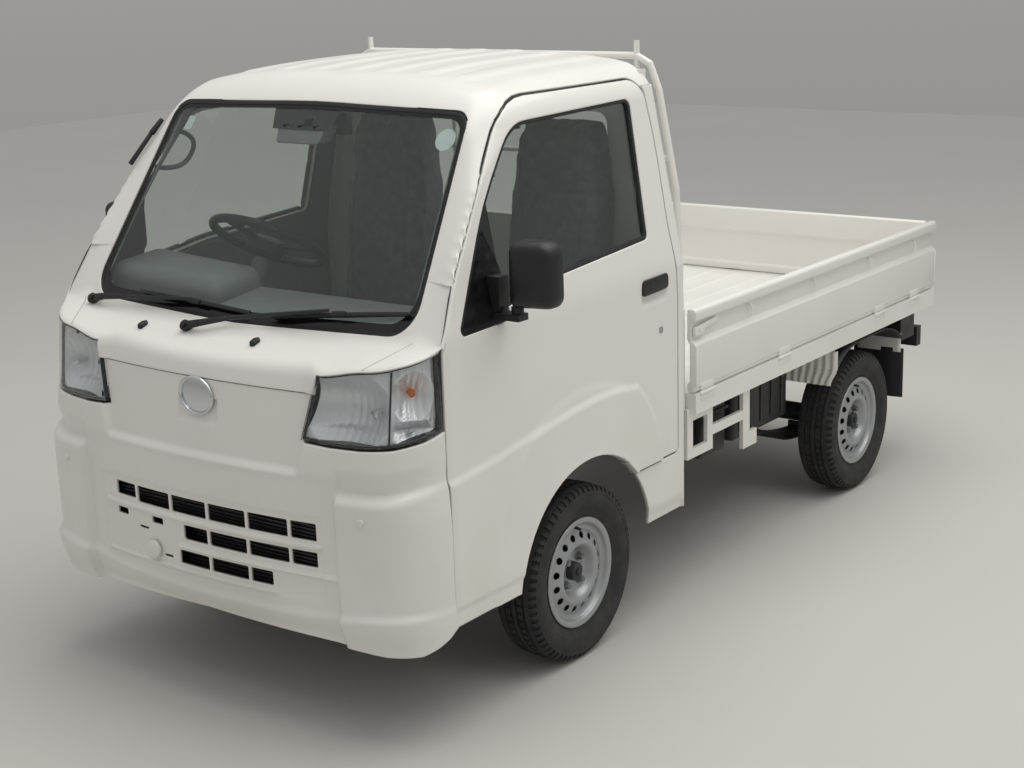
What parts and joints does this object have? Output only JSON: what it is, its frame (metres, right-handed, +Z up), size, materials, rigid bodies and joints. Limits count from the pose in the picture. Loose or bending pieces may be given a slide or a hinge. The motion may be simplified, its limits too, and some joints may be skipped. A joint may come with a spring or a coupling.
{
  "type": "kei truck",
  "caption": "Small cab-over truck with a drop-side load bed, opening doors, folding mirrors, steered front wheels and a turning steering wheel.",
  "frame": {"origin": "on the ground, on the vehicle's centre plane, midway along its length", "axes": "+X to the vehicle's left, -Y to its front, +Z up"},
  "size_m": [1.761, 3.3913, 1.776],
  "materials": {
    "body_paint": "gloss",
    "inner_panel": "satin",
    "glass": "gloss",
    "lamp": "gloss",
    "black_plastic": "matte",
    "seat_cloth": "matte",
    "chassis_black": "satin",
    "cast_metal": "matte",
    "exhaust_steel": "satin",
    "wheel_steel": "satin",
    "tyre": "matte"
  },
  "bodies": {
    "truck": {"bed_floor": "body_paint", "bed_frame": "body_paint", "cab_floor": "inner_panel", "cab_rear_wall": "body_paint", "cab_roof": "body_paint", "dashboard": "black_plastic", "driver_seat": "seat_cloth", "engine": "cast_metal", "exhaust": "exhaust_steel", "frame_rails": "chassis_black", "front_bumper": "body_paint", "front_panel": "body_paint", "front_suspension": "chassis_black", "fuel_tank": "chassis_black", "guard_frame": "body_paint", "headboard": "body_paint", "inside_mirror": "black_plastic", "left_cab_side": "body_paint", "left_headlamp": "lamp", "left_leaf_spring": "chassis_black", "left_mudguard": "black_plastic", "left_rear_lamp": "lamp", "passenger_seat": "seat_cloth", "propeller_shaft": "chassis_black", "rear_axle": "chassis_black", "rear_bumper": "chassis_black", "rear_window": "glass", "right_cab_side": "body_paint", "right_headlamp": "lamp", "right_leaf_spring": "chassis_black", "right_mudguard": "black_plastic", "right_rear_lamp": "lamp", "seat_base": "inner_panel", "side_box": "black_plastic", "steering_column": "black_plastic", "windscreen": "glass"},
    "left_door": {"left_door": "body_paint", "left_door_glass": "glass", "left_mirror_base": "black_plastic"},
    "right_door": {"right_door": "body_paint", "right_door_glass": "glass", "right_mirror_base": "black_plastic"},
    "left_mirror": {"left_mirror": "black_plastic"},
    "right_mirror": {"right_mirror": "black_plastic"},
    "left_gate": {"left_gate": "body_paint"},
    "right_gate": {"right_gate": "body_paint"},
    "tailgate": {"tailgate": "body_paint"},
    "steering_wheel": {"steering_wheel": "black_plastic"},
    "left_knuckle": {"left_knuckle": "chassis_black"},
    "right_knuckle": {"right_knuckle": "chassis_black"},
    "front_left_wheel": {"front_left_rim": "wheel_steel", "front_left_tyre": "tyre"},
    "front_right_wheel": {"front_right_rim": "wheel_steel", "front_right_tyre": "tyre"},
    "rear_left_wheel": {"rear_left_rim": "wheel_steel", "rear_left_tyre": "tyre"},
    "rear_right_wheel": {"rear_right_rim": "wheel_steel", "rear_right_tyre": "tyre"}
  },
  "joints": [
    {"name": "left_steer", "type": "hinge", "parent": "truck", "child": "left_knuckle", "pos_m": [0.548, -0.847, 0.268], "axis": [0, 0, 1], "range_deg": [-33, 33]},
    {"name": "right_steer", "type": "hinge", "parent": "truck", "child": "right_knuckle", "pos_m": [-0.548, -0.847, 0.268], "axis": [0, 0, 1], "range_deg": [-33, 33]},
    {"name": "steering_wheel_turn", "type": "hinge", "parent": "truck", "child": "steering_wheel", "pos_m": [-0.34, -0.995, 1.2], "axis": [0, 0.5299, 0.848], "range_deg": [-528, 528]},
    {"name": "front_left_wheel_spin", "type": "hinge", "parent": "left_knuckle", "child": "front_left_wheel", "pos_m": [0.65, -0.847, 0.268], "axis": [1, 0, 0], "continuous": true},
    {"name": "front_right_wheel_spin", "type": "hinge", "parent": "right_knuckle", "child": "front_right_wheel", "pos_m": [-0.65, -0.847, 0.268], "axis": [1, 0, 0], "continuous": true},
    {"name": "rear_left_wheel_spin", "type": "hinge", "parent": "truck", "child": "rear_left_wheel", "pos_m": [0.65, 1.053, 0.268], "axis": [1, 0, 0], "continuous": true},
    {"name": "rear_right_wheel_spin", "type": "hinge", "parent": "truck", "child": "rear_right_wheel", "pos_m": [-0.65, 1.053, 0.268], "axis": [1, 0, 0], "continuous": true},
    {"name": "left_door_hinge", "type": "hinge", "parent": "truck", "child": "left_door", "pos_m": [0.733, -1.468, 0.75], "axis": [0, 0, -1], "range_deg": [0, 65]},
    {"name": "right_door_hinge", "type": "hinge", "parent": "truck", "child": "right_door", "pos_m": [-0.733, -1.468, 0.75], "axis": [0, 0, 1], "range_deg": [0, 65]},
    {"name": "left_mirror_fold", "type": "hinge", "parent": "left_door", "child": "left_mirror", "pos_m": [0.78, -1.228, 1.237], "axis": [0, 0, 1], "range_deg": [0, 75]},
    {"name": "right_mirror_unfold", "type": "hinge", "parent": "right_door", "child": "right_mirror", "pos_m": [-0.78, -1.228, 1.237], "axis": [0, 0, 1], "range_deg": [0, 75]},
    {"name": "left_gate_hinge", "type": "hinge", "parent": "truck", "child": "left_gate", "pos_m": [0.738, 0.734, 0.655], "axis": [0, 1, 0], "range_deg": [0, 170]},
    {"name": "right_gate_hinge", "type": "hinge", "parent": "truck", "child": "right_gate", "pos_m": [-0.738, 0.734, 0.655], "axis": [0, -1, 0], "range_deg": [0, 170]},
    {"name": "tailgate_hinge", "type": "hinge", "parent": "truck", "child": "tailgate", "pos_m": [0, 1.696, 0.655], "axis": [-1, 0, 0], "range_deg": [0, 165]}
  ],
  "couplings": [
    {"joint": "right_steer", "follows": "left_steer", "ratio": 1},
    {"joint": "steering_wheel_turn", "follows": "left_steer", "ratio": 16}
  ]
}
